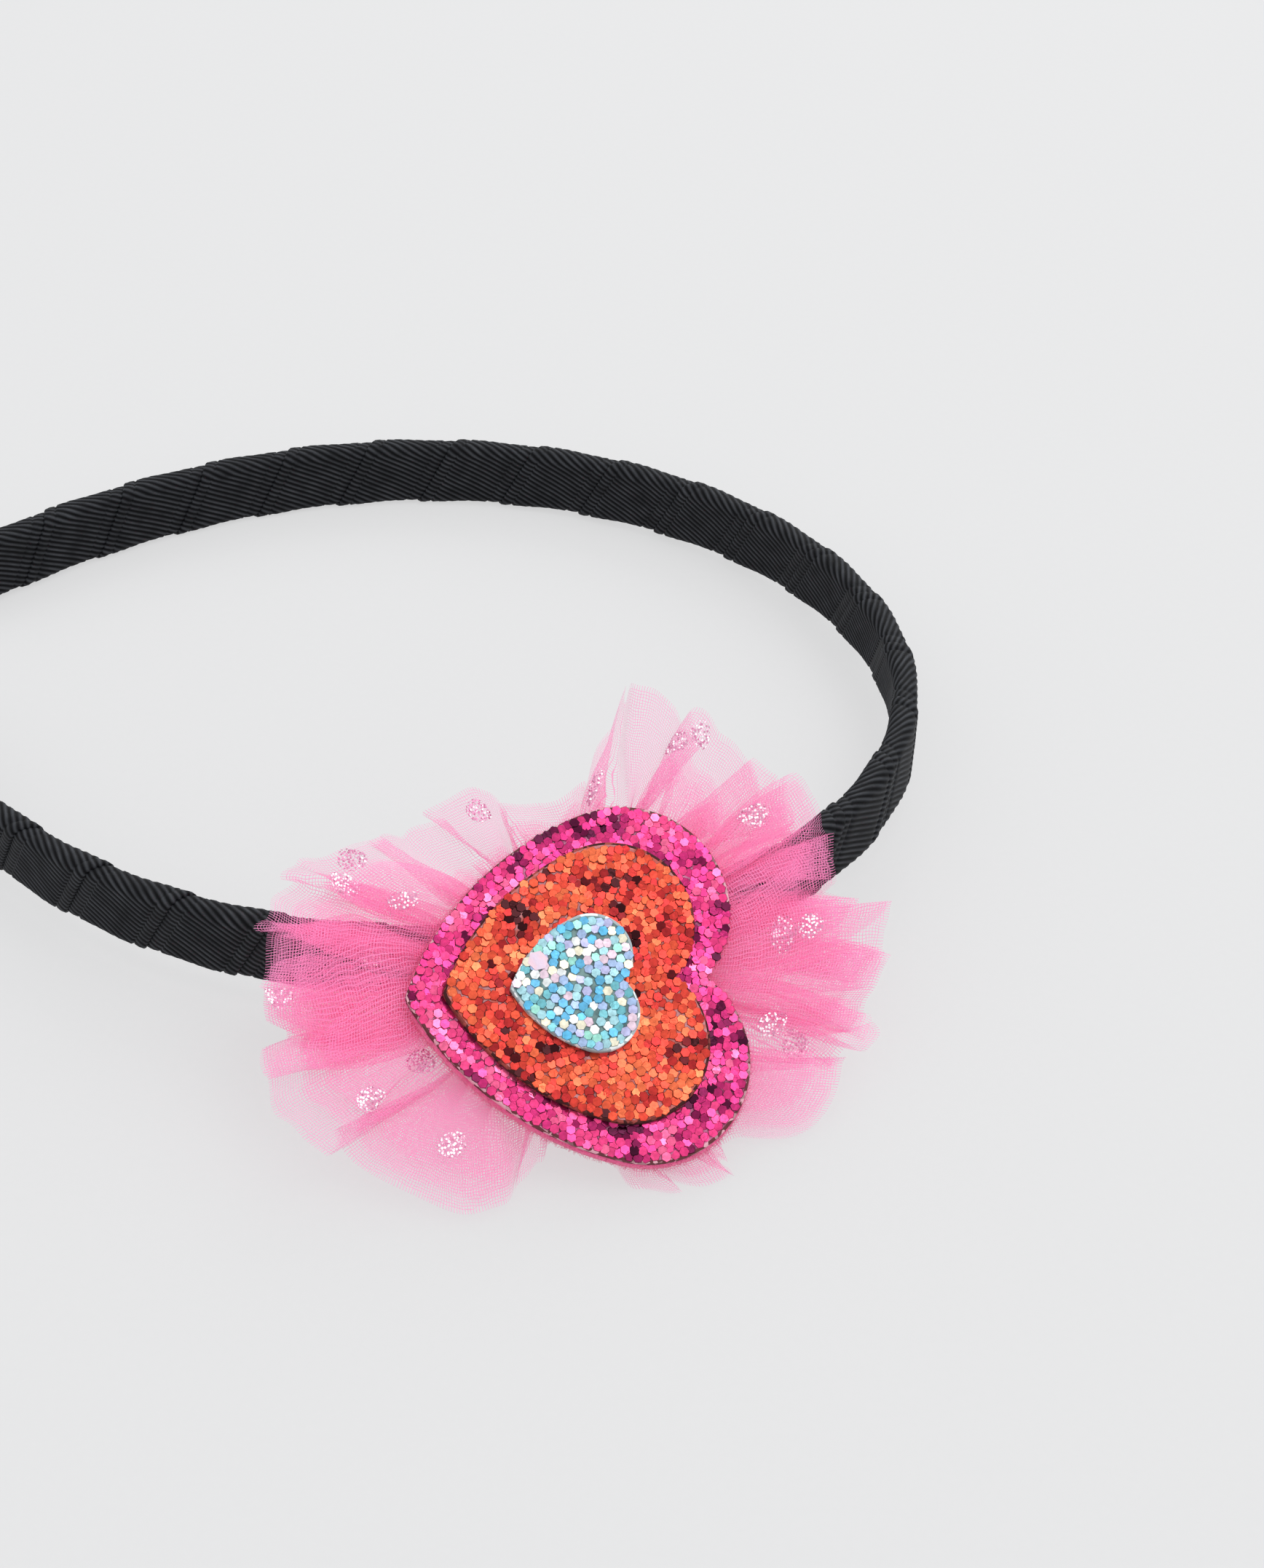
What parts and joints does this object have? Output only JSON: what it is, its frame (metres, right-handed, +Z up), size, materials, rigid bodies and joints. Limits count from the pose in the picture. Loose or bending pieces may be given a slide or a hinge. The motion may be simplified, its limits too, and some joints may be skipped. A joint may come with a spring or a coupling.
{
  "type": "heart headband",
  "caption": "Ribbon-wound headband loop lying on its edge, with layered glitter hearts on felt over a gathered tulle ruffle on one arm.",
  "frame": {"origin": "on the table, under the middle of the whole headband's box", "axes": "+Z up from the table, +X towards the crown of the loop, +Y away from the arm that carries the heart"},
  "size_m": [0.1574, 0.1618, 0.0382],
  "materials": {
    "ribbon": "black ribbed grosgrain ribbon",
    "tulle": "open-weave pink tulle with foil dots",
    "felt": "pink felt",
    "glitter_magenta": "magenta chunky glitter sheet",
    "glitter_orange": "orange chunky glitter sheet",
    "glitter_blue": "pale blue iridescent glitter sheet"
  },
  "bodies": {
    "root": {"ribbon_band": "ribbon", "tulle_ruffle": "tulle", "felt_backing": "felt", "heart_large": "glitter_magenta", "heart_medium": "glitter_orange", "heart_small": "glitter_blue"}
  },
  "joints": []
}
